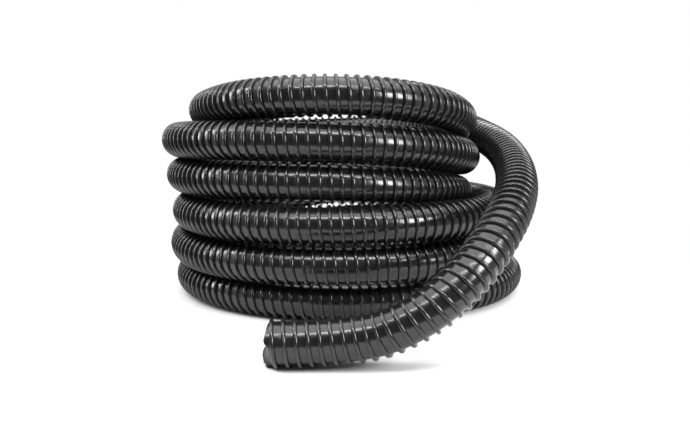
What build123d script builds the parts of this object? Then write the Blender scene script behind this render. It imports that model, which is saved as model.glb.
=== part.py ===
from build123d import *

import math
import os

# A ribbed vacuum hose: a thin soft wall with a stiff rib wound round it, coiled in six turns on the
# floor. From the top turn a free run swings out, comes down to the floor and ends in front of the coil.
# Its other end, the tail, comes out behind the lowest turn. Both ends are plain cuts.
# Millimetres, +Z up. The floor is Z = 0, and the free end lies on the -Y side.

# The hose's own sizes
bore = 38.1                  # clear inside diameter, where a hose fitting goes in
wall = 0.8                   # soft wall between two turns of the rib
rib_height = 2.9             # how far the rib stands out of the wall
rib_foot = 4.4               # the rib's width where it joins the wall
rib_crown = 2.6              # the rib's width at its top
rib_pitch = 10.8             # from one turn of the rib to the next
end_ribs = 4                 # turns of the rib on the straight stretch at each cut end

# The coil. Each row is one turn, lowest first, and says how far the hose's centreline lies from the
# coil's centre at the back, the right, the front and the left, and how high the hose is lifted there.
coil_centre = (-2.3, 19.0)
corners_in_turn = 12
laid_diameter = 45.5         # the outside diameter that all the lifts below are worked out for
turn_reach = [
    (208, 228, 180, 214),
    (212, 214, 203, 218),
    (216, 206, 211, 210),
    (168, 148, 197, 220),
    (210, 158, 207, 222),
    (173, 147, 212, 181),
]
turn_lift = [
    (0, 0, 0, 0),
    (46, 46.3, 46, 47.2),
    (92, 93, 91.5, 92.4),
    (121, 109, 136, 137),
    (153, 155, 181.5, 182.6),
    (197, 199.3, 230.8, 218),
]
leaving_reach = 188          # where the top turn ends, at the back
leaving_lift = 252.5
first_coil_corner = 1        # the tail joins the lowest turn here, just to the right of the back

# The route's corners where the hose isn't coiled, from the coil's centre, with the lift as above
tail_corners = [
    (-182, 296, 0),
    (-80, 274, 0),
    (18, 240, 0),
]
free_corners = [
    (76, 186, 245),
    (135, 154, 228),
    (175, 103, 206),
    (199, 40, 189),
    (209, -28, 175),
    (207, -96, 160),
    (197, -164, 144),
    (180, -228, 125),
    (151, -284, 98),
    (113, -319, 59),
    (66, -334, 23),
    (8, -326, 0),
    (-76, -326, 0),
]
bend_share = 0.45            # part of its shorter run that each bend takes up

wall_diameter = bore + 2 * wall
hose_diameter = wall_diameter + 2 * rib_height
end_length = end_ribs * rib_pitch


# ---- The route -------------------------------------------------------------------------------------

def between(values, place):
    """Smooth value at a place between two entries of a list."""
    i = min(int(place), len(values) - 2)
    t = place - i
    start, end = values[i], values[i + 1]
    before = values[i - 1] if i > 0 else 2 * start - end
    after = values[i + 2] if i + 2 < len(values) else 2 * end - start
    return (
        (2 * t**3 - 3 * t**2 + 1) * start
        + (t**3 - 2 * t**2 + t) * (end - before) / 2
        + (3 * t**2 - 2 * t**3) * end
        + (t**3 - t**2) * (after - start) / 2
    )


def placed(x, y, lift):
    """A corner of the route, from its place beside the coil's centre and its lift off the floor."""
    raised = lift * hose_diameter / laid_diameter
    return Vector(coil_centre[0] + x, coil_centre[1] + y, hose_diameter / 2 + raised)


def coil_corner(number):
    """A corner of the coil: the turns run clockwise from above, starting at the back."""
    quarter = number * 4 / corners_in_turn
    angle = math.radians(360 * number / corners_in_turn)
    outside = 1 / math.cos(math.pi / corners_in_turn)
    reach = between(sum(turn_reach, ()) + (leaving_reach,), quarter) * outside
    lift = between(sum(turn_lift, ()) + (leaving_lift,), quarter)
    return placed(reach * math.sin(angle), reach * math.cos(angle), max(lift, 0))


last_coil_corner = corners_in_turn * len(turn_reach)
tail = [placed(*corner) for corner in tail_corners]
coil = [coil_corner(number) for number in range(first_coil_corner, last_coil_corner + 1)]
free = [placed(*corner) for corner in free_corners]

route = tail + coil + free
coil_first = len(tail)
coil_last = len(tail) + len(coil) - 1


def bend_radius(number):
    """As large an arc at a corner of the route as the straight runs on its two sides allow."""
    before = route[number] - route[number - 1]
    after = route[number + 1] - route[number]
    half_turn = math.radians(before.get_angle(after)) / 2
    return bend_share * min(before.length, after.length) / math.tan(half_turn)


# The hose is divided half way along a straight run, and where the straight ends begin
tail_inward = (tail[1] - tail[0]).normalized()
free_inward = (free[-2] - free[-1]).normalized()
tail_joint = tail[0] + tail_inward * end_length
free_joint = free[-1] + free_inward * end_length
coil_start = (tail[-1] + coil[0]) / 2
coil_finish = (coil[-1] + free[0]) / 2


# ---- The plain tube of each stretch ----------------------------------------------------------------

def stretch(name, start, first, last, finish):
    """A plain tube by way of some corners, over the ribs outside and clear to the bore inside."""
    radii = [bend_radius(number) for number in range(first, last + 1)]
    path = FilletPolyline(start, *route[first:last + 1], finish, radius=radii)
    ring = Circle(hose_diameter / 2) - Circle(bore / 2)
    tube = sweep(Plane(origin=path @ 0, z_dir=path % 0) * ring, path=path)
    expected = ring.area * path.length
    print(name, "length", round(path.length, 1), "bend radii", [round(radius) for radius in radii])
    print(name, "volume", round(tube.volume), "section x length", round(expected))
    return tube


# ---- The real wall and rib of a cut end ------------------------------------------------------------

on_end = (Align.CENTER, Align.CENTER, Align.MIN)


def end_wall():
    """The soft wall of a straight end, standing on its mouth."""
    outside = Cylinder(wall_diameter / 2, end_length, align=on_end)
    return outside - Cylinder(bore / 2, end_length, align=on_end)


def end_rib():
    """The rib of a straight end, seated on the wall and cut off flush at the mouth."""
    sunk = 0.4
    spare = rib_pitch
    foot_radius = wall_diameter / 2
    path = Pos(0, 0, -spare) * Helix(rib_pitch, end_length + 2 * spare, foot_radius)
    start = Plane(origin=path @ 0, x_dir=(1, 0, 0), z_dir=path % 0)
    outline = Polygon(
        (-sunk, -rib_foot / 2),
        (0, -rib_foot / 2),
        (rib_height, -rib_crown / 2),
        (rib_height, rib_crown / 2),
        (0, rib_foot / 2),
        (-sunk, rib_foot / 2),
        align=None,
    )
    strip = sweep(start * outline, path=path, is_frenet=True)
    rib = strip - Cylinder(foot_radius, 4 * end_length)
    below = Cylinder(hose_diameter, 2 * spare, align=(Align.CENTER, Align.CENTER, Align.MAX))
    beyond = Pos(0, 0, end_length) * Cylinder(hose_diameter, 2 * spare, align=on_end)
    return rib - below - beyond


tail_mouth = Plane(origin=tail[0], z_dir=tail_inward)
free_mouth = Plane(origin=free[-1], z_dir=free_inward)

parts = {
    "tail_end_wall": tail_mouth * end_wall(),
    "tail_end_rib": tail_mouth * end_rib(),
    "tail_run": stretch("tail_run", tail_joint, 1, coil_first - 1, coil_start),
    "hose_coil": stretch("hose_coil", coil_start, coil_first, coil_last, coil_finish),
    "free_run": stretch("free_run", coil_finish, coil_last + 1, len(route) - 2, free_joint),
    "free_end_wall": free_mouth * end_wall(),
    "free_end_rib": free_mouth * end_rib(),
}

os.makedirs("parts", exist_ok=True)
for name, part in parts.items():
    export_step(part, f"parts/{name}.step")

box = Compound(children=list(parts.values())).bounding_box()
print("box", [round(v, 2) for v in box.min], [round(v, 2) for v in box.max])
for end, mouth, inward in (("tail", tail[0], tail_inward), ("free", free[-1], free_inward)):
    print(end, "mouth", [round(v, 3) for v in mouth], "inward", [round(v, 5) for v in inward])
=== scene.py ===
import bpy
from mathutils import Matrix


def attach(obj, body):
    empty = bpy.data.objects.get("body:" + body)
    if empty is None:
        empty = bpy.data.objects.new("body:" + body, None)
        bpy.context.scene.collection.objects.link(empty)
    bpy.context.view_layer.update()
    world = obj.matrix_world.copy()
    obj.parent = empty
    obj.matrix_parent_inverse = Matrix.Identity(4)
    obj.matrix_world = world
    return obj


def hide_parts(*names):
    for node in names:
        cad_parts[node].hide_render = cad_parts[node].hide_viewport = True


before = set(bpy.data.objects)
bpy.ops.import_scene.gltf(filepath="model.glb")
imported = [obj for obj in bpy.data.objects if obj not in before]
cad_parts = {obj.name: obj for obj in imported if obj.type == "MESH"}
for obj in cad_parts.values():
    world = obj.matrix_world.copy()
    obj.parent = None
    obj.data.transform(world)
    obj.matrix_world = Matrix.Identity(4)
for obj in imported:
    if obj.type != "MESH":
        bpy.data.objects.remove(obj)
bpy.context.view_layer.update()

import math

import bmesh
import bpy
import numpy
from mathutils import Vector


# ---- The line the hose lies on ------------------------------------------------------------------
# One length of hose, wound in six turns on the floor as it comes off a drum. The tail comes out
# behind the lowest turn. The top turn runs on to the right, down to the floor, and ends in front.

hose_diameter = 0.0455
coil_centre = (-0.0023, 0.019)
corners_in_turn = 12
turn_reach = [               # back, right, front and left of each turn, lowest turn first
    (0.208, 0.228, 0.180, 0.214),
    (0.212, 0.214, 0.203, 0.218),
    (0.216, 0.206, 0.211, 0.210),
    (0.168, 0.148, 0.197, 0.220),
    (0.210, 0.158, 0.207, 0.222),
    (0.173, 0.147, 0.212, 0.181),
]
turn_lift = [
    (0, 0, 0, 0),
    (0.046, 0.0463, 0.046, 0.0472),
    (0.092, 0.093, 0.0915, 0.0924),
    (0.121, 0.109, 0.136, 0.137),
    (0.153, 0.155, 0.1815, 0.1826),
    (0.197, 0.1993, 0.2308, 0.218),
]
leaving_reach = 0.188
leaving_lift = 0.2525
tail_corners = [(-0.182, 0.296, 0), (-0.080, 0.274, 0), (0.018, 0.240, 0)]
free_corners = [
    (0.076, 0.186, 0.245), (0.135, 0.154, 0.228), (0.175, 0.103, 0.206), (0.199, 0.040, 0.189),
    (0.209, -0.028, 0.175), (0.207, -0.096, 0.160), (0.197, -0.164, 0.144), (0.180, -0.228, 0.125),
    (0.151, -0.284, 0.098), (0.113, -0.319, 0.059), (0.066, -0.334, 0.023), (0.008, -0.326, 0),
    (-0.076, -0.326, 0),
]


def between(values, place):
    """Smooth value at a place between two entries of a list."""
    i = min(int(place), len(values) - 2)
    t = place - i
    start, end = values[i], values[i + 1]
    before = values[i - 1] if i > 0 else 2 * start - end
    after = values[i + 2] if i + 2 < len(values) else 2 * end - start
    return (
        (2 * t**3 - 3 * t**2 + 1) * start
        + (t**3 - 2 * t**2 + t) * (end - before) / 2
        + (3 * t**2 - 2 * t**3) * end
        + (t**3 - t**2) * (after - start) / 2
    )


def placed(x, y, lift):
    """A corner of the line, from its place beside the coil's centre and its lift off the floor."""
    return Vector((coil_centre[0] + x, coil_centre[1] + y, hose_diameter / 2 + lift))


def coil_corner(number):
    """A corner of the coil: the turns run clockwise from above, starting at the back."""
    quarter = number * 4 / corners_in_turn
    angle = math.radians(360 * number / corners_in_turn)
    outside = 1 / math.cos(math.pi / corners_in_turn)
    reach = between(sum(turn_reach, ()) + (leaving_reach,), quarter) * outside
    lift = between(sum(turn_lift, ()) + (leaving_lift,), quarter)
    return placed(reach * math.sin(angle), reach * math.cos(angle), max(lift, 0))


hose_corners = [placed(*corner) for corner in tail_corners]
hose_corners += [coil_corner(number) for number in range(1, corners_in_turn * len(turn_reach) + 1)]
hose_corners += [placed(*corner) for corner in free_corners]

hose_line = bpy.data.curves.new("hose line", "CURVE")
hose_line.dimensions = "3D"
spline = hose_line.splines.new("NURBS")
spline.points.add(len(hose_corners) - 1)
for point, corner in zip(spline.points, hose_corners):
    point.co = (*corner, 1)
spline.order_u = 3
spline.use_endpoint_u = True
spline.resolution_u = 24
hose_line_object = bpy.data.objects.new("hose line", hose_line)
line_mesh = bpy.data.meshes.new_from_object(hose_line_object)
line_points = numpy.array([vertex.co for vertex in line_mesh.vertices])
bpy.data.objects.remove(hose_line_object)

runs = numpy.linalg.norm(numpy.diff(line_points, axis=0), axis=1)
distances = numpy.concatenate([[0], numpy.cumsum(runs)])
hose_length = float(distances[-1])

# The wall doesn't twist as it is wound, so each cross-section keeps the turn of the one before it
along = numpy.gradient(line_points, distances, axis=0)
along /= numpy.linalg.norm(along, axis=1)[:, None]
upright = numpy.zeros_like(along)
across = numpy.array([0.0, 0.0, 1.0])
for number, way in enumerate(along):
    across = across - way * (across @ way)
    across /= numpy.linalg.norm(across)
    upright[number] = across
sideways = numpy.cross(along, upright)


def laid_on_line(mesh):
    """Bends a mesh made straight up the Z axis from 0 so that it lies along the hose's line."""
    flat = numpy.empty(len(mesh.vertices) * 3)
    mesh.vertices.foreach_get("co", flat)
    straight = flat.reshape(-1, 3)
    beyond = straight[:, 2] - numpy.clip(straight[:, 2], 0, hose_length)
    bent = numpy.empty_like(straight)
    for axis in range(3):
        middle, up, side, way = (
            numpy.interp(straight[:, 2], distances, values[:, axis])
            for values in (line_points, upright, sideways, along)
        )
        bent[:, axis] = middle + straight[:, 0] * up + straight[:, 1] * side + beyond * way
    mesh.vertices.foreach_set("co", bent.ravel())
    mesh.update()


# ---- The soft wall ------------------------------------------------------------------------------
# A thin tube of soft black vinyl, clear to the bore inside. It is extruded as a flat strip and
# welded edge to edge round a mandrel, so faint lines run round it side by side with the rib.

bore = 0.0381
wall_thickness = 0.0008
pitches = round(hose_length / 0.0108)
rib_pitch = hose_length / pitches    # a whole number of them in the hose
wall_sides = 40
wall_radius = bore / 2 + wall_thickness


class Mixing:
    """The nodes of one material. A value that it hands out takes + - * ** and adds Math nodes."""

    def __init__(self, name, socket=None, nodes=None):
        if nodes is None:
            self.material = bpy.data.materials.new(name)
            self.material.use_nodes = True
            nodes = self.material.node_tree
            nodes.nodes.clear()
        self.nodes, self.socket = nodes, socket

    def node(self, kind, settings=None, output=0, **values):
        """A node of a kind, with its settings, and the values or links of its sockets."""
        made = self.nodes.nodes.new("ShaderNode" + kind)
        for name, value in (settings or {}).items():
            setattr(made, name, value)
        for name, value in values.items():
            shown = [end for end in made.inputs if end.enabled]
            named = [end for end in shown if end.name.replace(" ", "") == name]
            end = named[0] if named else made.inputs[int(name[1:])]
            if isinstance(value, Mixing):
                self.nodes.links.new(value.socket, end)
            else:
                end.default_value = value
        found = made.outputs[output] if made.outputs else None
        return Mixing(None, found, self.nodes)

    def worked(self, operation, first, second=0.0):
        return self.node("Math", {"operation": operation}, _0=first, _1=second)

    def __add__(self, other):
        return self.worked("ADD", self, other)

    def __sub__(self, other):
        return self.worked("SUBTRACT", self, other)

    def __mul__(self, other):
        return self.worked("MULTIPLY", self, other)

    def __rsub__(self, other):
        return self.worked("SUBTRACT", other, self)

    def __pow__(self, other):
        return self.worked("POWER", self, other)

    __radd__ = __add__
    __rmul__ = __mul__

    def above(self, low, high):
        """Nought below low, one above high, and smooth between them."""
        smooth = {"interpolation_type": "SMOOTHSTEP"}
        return self.node("MapRange", smooth, Value=self, FromMin=low, FromMax=high)


def grey(value, warmth=0.0):
    return (value * (1 + warmth), value, value * (1 - warmth), 1)


vinyl = Mixing("soft black vinyl")
place = vinyl.node("TexCoord", output=3)
strip = vinyl.node("UVMap", {"uv_map": "strip"})
strip_across = vinyl.node("SeparateXYZ", Vector=strip)
strip_along = vinyl.node("SeparateXYZ", output=1, Vector=strip)
from_rib = vinyl.worked("FRACT", strip_along - strip_across)
from_middle = vinyl.worked("ABSOLUTE", from_rib - 0.5) * 2
clouds = vinyl.node("TexNoise", Vector=place, Scale=22.0, Detail=4.0, Roughness=0.6)
peel = vinyl.node("TexNoise", Vector=place, Scale=420.0, Detail=2.0, Roughness=0.5)
smears = vinyl.node("TexNoise", Vector=place, Scale=95.0, Detail=3.0, Roughness=0.65)
draw_lines = vinyl.node(
    "TexNoise", {"noise_dimensions": "2D"}, Detail=1.0, Roughness=0.4, Scale=1.0,
    Vector=vinyl.node("CombineXYZ", X=from_rib * 26, Y=strip_across * 5 + strip_along * 0.7),
)
bubbles = vinyl.node("TexVoronoi", Vector=place, Scale=190.0)
bubble_colour = vinyl.node("TexVoronoi", output=1, Vector=place, Scale=190.0)
bubble_kind = vinyl.node("SeparateColor", Color=bubble_colour)
pits = (1 - bubbles.above(0.05, 0.2)) * bubble_kind.above(0.9, 0.93)
dust = smears.above(0.5, 0.75) * clouds.above(0.42, 0.62)
crown = 1 - from_middle ** 4
inner = vinyl.node("Attribute", {"attribute_name": "inner"}, output=2)
vinyl_colour = vinyl.node(
    "Mix", {"data_type": "RGBA"}, output=2,
    Factor=dust * 0.35 + pits * 0.5, A=grey(0.006), B=grey(0.05, 0.02),
)
vinyl_height = crown * 0.00030 + draw_lines * 0.00003 + peel * 0.000006 + pits * 0.00012
vinyl_bump = vinyl.node("Bump", Strength=1.0, Distance=1.0, Height=vinyl_height)
vinyl_shader = vinyl.node(
    "BsdfPrincipled", BaseColor=vinyl_colour, Normal=vinyl_bump, IOR=1.52,
    Roughness=clouds * 0.12 + dust * 0.2 + inner * 0.7 + 0.14,
)
vinyl.node("OutputMaterial", Surface=vinyl_shader)


def repeated(form, step, times):
    """Repeats what is in a bmesh up the Z axis, end to end, and joins it."""
    once = form.verts[:] + form.edges[:] + form.faces[:]
    for number in range(1, times):
        copied = bmesh.ops.duplicate(form, geom=once)
        verts = [part for part in copied["geom"] if isinstance(part, bmesh.types.BMVert)]
        bmesh.ops.translate(form, verts=verts, vec=(0, 0, step * number))
    bmesh.ops.remove_doubles(form, verts=form.verts[:], dist=0.00001)


def drawn_out(form, rim, rise, times):
    """Extrudes an open rim up or down the Z axis, ring by ring."""
    for ring in range(times):
        added = bmesh.ops.extrude_edge_only(form, edges=rim)["geom"]
        verts = [part for part in added if isinstance(part, bmesh.types.BMVert)]
        bmesh.ops.translate(form, verts=verts, vec=(0, 0, rise))
        rim = [part for part in added if isinstance(part, bmesh.types.BMEdge)]


def open_rim(form, low, high):
    """The open edges of a straight bmesh between two heights."""
    return [edge for edge in form.edges if edge.is_boundary and low < edge.verts[0].co.z < high]


end_zone = 4 * rib_pitch     # how far in from each end the wall's rings give way to the cut
end_rings = 16
half_way = hose_length / 2
up_at_tail = math.atan2(sideways[0][2], upright[0][2])
knife_turn = math.radians(20)
knife_side = math.atan2(sideways[-1][2], upright[-1][2]) + knife_turn
last_rib_in = 0.0122         # a quarter turn from the knife's side, towards the front
rib_phase = knife_side - math.pi / 2 - 2 * math.pi * (hose_length - last_rib_in) / rib_pitch
cut_step = math.radians(15)
free_cut = [                 # how far in the cut lies, at each step round from the knife's side
    0.0088, 0.0081, 0.0073, 0.0066, 0.0060, 0.0050, 0.0042, 0.0098, 0.0112, 0.0117, 0.0121, 0.0125,
    0.0096, 0.0050, 0.0020, 0.0003, -0.0008, 0.0000, 0.0027, 0.0049, 0.0064, 0.0077, 0.0086, 0.0090,
]
tail_cut = [
    0.0010, 0.0006, 0.0002, 0.0000, 0.0004, 0.0010, 0.0016, 0.0024, 0.0030, 0.0036, 0.0044, 0.0050,
    0.0058, 0.0066, 0.0072, 0.0078, 0.0082, 0.0080, 0.0066, 0.0046, 0.0030, 0.0022, 0.0016, 0.0012,
]


def cut_back(spot):
    """How far in the knife's cut is at a vertex's side, how far in the vertex is, and which way."""
    turn = math.atan2(spot.y, spot.x)
    at_free = spot.z > half_way
    cuts, start = (free_cut, knife_side) if at_free else (tail_cut, up_at_tail)
    step = ((start - turn) / cut_step) % len(cuts)
    low = int(step)
    before, after = cuts[low % len(cuts)], cuts[(low + 1) % len(cuts)]
    cut = before + (after - before) * (step - low)
    depth = hose_length - spot.z if at_free else spot.z
    return cut, depth, -1 if at_free else 1


def finished(name, form, material):
    """Makes a straight bmesh into a piece that lies on the hose's line, with its strip map."""
    strip_map = form.loops.layers.uv.new("strip")
    for face in form.faces:
        face.smooth = True
        middle = face.calc_center_median()
        centre = math.atan2(middle.y, middle.x) - rib_phase
        for corner in face.loops:
            spot = corner.vert.co
            turn = math.atan2(spot.y, spot.x) - rib_phase
            turns_off = round((turn - centre) / (2 * math.pi))
            corner[strip_map].uv = (turn / (2 * math.pi) - turns_off, spot.z / rib_pitch)
    mesh = bpy.data.meshes.new(name)
    form.to_mesh(mesh)
    form.free()
    laid_on_line(mesh)
    piece = bpy.data.objects.new(name, mesh)
    bpy.context.scene.collection.objects.link(piece)
    mesh.materials.append(material)
    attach(piece, "root")
    return piece


wall_form = bmesh.new()
equal_lots = 8
for radius, spacing in ((wall_radius, rib_pitch / 2), (bore / 2, rib_pitch)):
    skin = bmesh.new()
    ring = bmesh.ops.create_circle(skin, segments=wall_sides, radius=radius)["verts"]
    bmesh.ops.translate(skin, verts=ring, vec=(0, 0, end_zone))
    lot = round((hose_length - 2 * end_zone) / spacing / equal_lots)
    exact = (hose_length - 2 * end_zone) / (equal_lots * lot)
    drawn_out(skin, skin.edges[:], exact, lot)
    repeated(skin, exact * lot, equal_lots)
    drawn_out(skin, open_rim(skin, 0, half_way), -end_zone / end_rings, end_rings)
    drawn_out(skin, open_rim(skin, half_way, 2 * hose_length), end_zone / end_rings, end_rings)
    skin_mesh = bpy.data.meshes.new("skin")
    skin.to_mesh(skin_mesh)
    skin.free()
    wall_form.from_mesh(skin_mesh)
    bpy.data.meshes.remove(skin_mesh)
# These bridges join each outer vertex to an inner one well round from it. So they cross each mouth and
# shut it with a thin skin, and the inner face points away from the bore.
bmesh.ops.bridge_loops(wall_form, edges=open_rim(wall_form, -hose_length, half_way))
bmesh.ops.bridge_loops(wall_form, edges=open_rim(wall_form, half_way, 2 * hose_length))
bmesh.ops.recalc_face_normals(wall_form, faces=wall_form.faces[:])
for vert in wall_form.verts:
    cut, depth, inwards = cut_back(vert.co)
    if depth < end_zone:
        vert.co.z += cut * (1 - depth / end_zone) * inwards
inner_face = wall_form.verts.layers.float.new("inner")
for vert in wall_form.verts:
    vert[inner_face] = float(vert.co.xy.length < bore / 2 + wall_thickness / 2)
hose_wall = finished("hose_wall", wall_form, vinyl.material)
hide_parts("tail_run", "hose_coil", "free_run", "tail_end_wall", "free_end_wall")


# ---- The rib ------------------------------------------------------------------------------------
# A stiff strip of harder black vinyl, wound round the wall and welded to it along its foot. It
# keeps the hose round when bent or under suction, and runs unbroken from one cut end to the other.

rib_steps = 32
rib_outline = [              # outwards from the wall's face, and along the hose
    (-0.0003, -0.0022), (0.0002, -0.0021), (0.0019, -0.00175), (0.0027, -0.00115), (0.0029, 0.0),
    (0.0027, 0.00115), (0.0019, 0.00175), (0.0002, 0.0021), (-0.0003, 0.0022),
]

ribbing = Mixing("stiff black vinyl")
place = ribbing.node("TexCoord", output=3)
strip = ribbing.node("UVMap", {"uv_map": "strip"})
strip_across = ribbing.node("SeparateXYZ", Vector=strip)
strip_along = ribbing.node("SeparateXYZ", output=1, Vector=strip)
from_centre = ribbing.worked("FRACT", strip_along - strip_across + 0.5) - 0.5
off_centre = ribbing.worked("ABSOLUTE", from_centre)
on_crown = 1 - off_centre.above(0.05, 0.12)
clouds = ribbing.node("TexNoise", Vector=place, Scale=26.0, Detail=3.0, Roughness=0.6)
scrapes = ribbing.node("TexNoise", Vector=place, Scale=160.0, Detail=4.0, Roughness=0.7)
peel = ribbing.node("TexNoise", Vector=place, Scale=600.0, Detail=2.0, Roughness=0.5)
rubbed = on_crown * scrapes.above(0.55, 0.72) * clouds.above(0.4, 0.65)
rib_colour = ribbing.node(
    "Mix", {"data_type": "RGBA"}, output=2, Factor=rubbed * 0.6, A=grey(0.007), B=grey(0.06, 0.02),
)
rib_height = peel * 0.000008 + scrapes * 0.00002
rib_bump = ribbing.node("Bump", Strength=1.0, Distance=1.0, Height=rib_height)
rib_shader = ribbing.node(
    "BsdfPrincipled", BaseColor=rib_colour, Normal=rib_bump, IOR=1.52,
    Roughness=clouds * 0.1 + rubbed * 0.25 + 0.17,
)
ribbing.node("OutputMaterial", Surface=rib_shader)

rib_lengths = [
    "rib_of_tail_and_first_turns", "rib_of_lower_turns", "rib_of_upper_turns",
    "rib_of_top_turn_and_free_run",
]
first_turn = -1 - (rib_phase / (2 * math.pi)) % 1
all_turns = pitches + 3      # some to spare at both ends, for the knife
for number, name in enumerate(rib_lengths):
    begin = all_turns * number // len(rib_lengths)
    turns = all_turns * (number + 1) // len(rib_lengths) - begin
    rib_form = bmesh.new()
    verts = [rib_form.verts.new((wall_radius + out, 0, onward)) for out, onward in rib_outline]
    edges = [rib_form.edges.new((verts[i - 1], verts[i])) for i in range(len(verts))]
    bmesh.ops.spin(
        rib_form, geom=verts + edges, cent=(0, 0, 0), axis=(0, 0, 1), angle=2 * math.pi,
        dvec=(0, 0, rib_pitch / rib_steps), steps=rib_steps, use_duplicate=False,
    )
    repeated(rib_form, rib_pitch, turns)
    bmesh.ops.recalc_face_normals(rib_form, faces=rib_form.faces[:])
    rise = rib_pitch * (first_turn + begin)
    bmesh.ops.translate(rib_form, verts=rib_form.verts[:], vec=(0, 0, rise))
    pushes = {}
    for vert in rib_form.verts:
        cut, depth, inwards = cut_back(vert.co)
        if cut > depth:
            pushes[vert] = (cut - depth) * inwards
    gone = [face for face in rib_form.faces if all(vert in pushes for vert in face.verts)]
    if gone:
        bmesh.ops.delete(rib_form, geom=gone, context="FACES")
        for vert in rib_form.verts:
            vert.co.z += pushes.get(vert, 0)
        bmesh.ops.holes_fill(rib_form, edges=[edge for edge in rib_form.edges if edge.is_boundary])
        caps = [face for face in rib_form.faces if len(face.verts) > 4]
        bmesh.ops.triangulate(rib_form, faces=caps)
    finished(name, rib_form, ribbing.material)
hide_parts("tail_end_rib")
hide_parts("free_end_rib")


# ---- The floor, the light and the camera --------------------------------------------------------
# A plain white board, in a white room with a bright ceiling, lit walls and a dim one in front. A
# soft box stands on each side, and a long narrow one hangs above and behind the camera.

floor_form = bmesh.new()
bmesh.ops.create_circle(floor_form, segments=96, radius=0.6, cap_ends=True)
floor_mesh = bpy.data.meshes.new("floor")
floor_form.to_mesh(floor_mesh)
floor_form.free()
floor = bpy.data.objects.new("floor", floor_mesh)
bpy.context.scene.collection.objects.link(floor)
white = Mixing("white floor")
white_shader = white.node("BsdfPrincipled", BaseColor=grey(0.68), Roughness=0.9)
white.node("OutputMaterial", Surface=white_shader)
floor_mesh.materials.append(white.material)

room = bpy.data.worlds.new("room")
room.use_nodes = True
room.node_tree.nodes.clear()
walls = Mixing("room", None, room.node_tree)
way = walls.node("TexCoord")
height = walls.node("SeparateXYZ", output=2, Vector=way)
towards_back = walls.node("SeparateXYZ", output=1, Vector=way)
ceiling_glow, wall_glow, front_glow = 2.9, 0.55, 0.19
glow = height.above(0.72, 0.84) * ceiling_glow
glow = glow + towards_back.above(-0.62, -0.2) * wall_glow + front_glow
seen = walls.node("LightPath")
shown = glow + (1 - glow) * seen         # the walls themselves look plain white
walls.node("OutputWorld", Surface=walls.node("Background", Color=grey(1.0), Strength=shown))
bpy.context.scene.world = room


def soft_box(name, spot, aim, wide, high, power):
    """A soft box that points at a spot."""
    light = bpy.data.lights.new(name, "AREA")
    light.shape = "RECTANGLE"
    light.size, light.size_y, light.energy = wide, high, power
    lamp = bpy.data.objects.new(name, light)
    lamp.location = spot
    lamp.rotation_euler = (Vector(aim) - Vector(spot)).to_track_quat("-Z", "Y").to_euler()
    bpy.context.scene.collection.objects.link(lamp)


soft_box("right box", (0.72, -0.72, 0.48), (0.03, -0.15, 0.14), 0.34, 0.34, 10.0)
soft_box("left box", (-1.1, -0.05, 0.65), (-0.05, -0.15, 0.12), 0.16, 0.9, 9.0)
soft_box("front strip", (0, -1.0, 1.4), (0, -0.2, 0.1), 1.8, 0.05, 16.0)

camera = bpy.data.objects.new("camera", bpy.data.cameras.new("camera"))
camera.data.sensor_width = 36
camera.data.lens = 32.2
camera.location = (-0.0015, -0.851, 0.212)
tilt_down = 7.4
camera.rotation_euler = (math.radians(90 - tilt_down), 0, 0)
bpy.context.scene.collection.objects.link(camera)
bpy.context.scene.camera = camera
bpy.context.scene.view_settings.view_transform = "Standard"
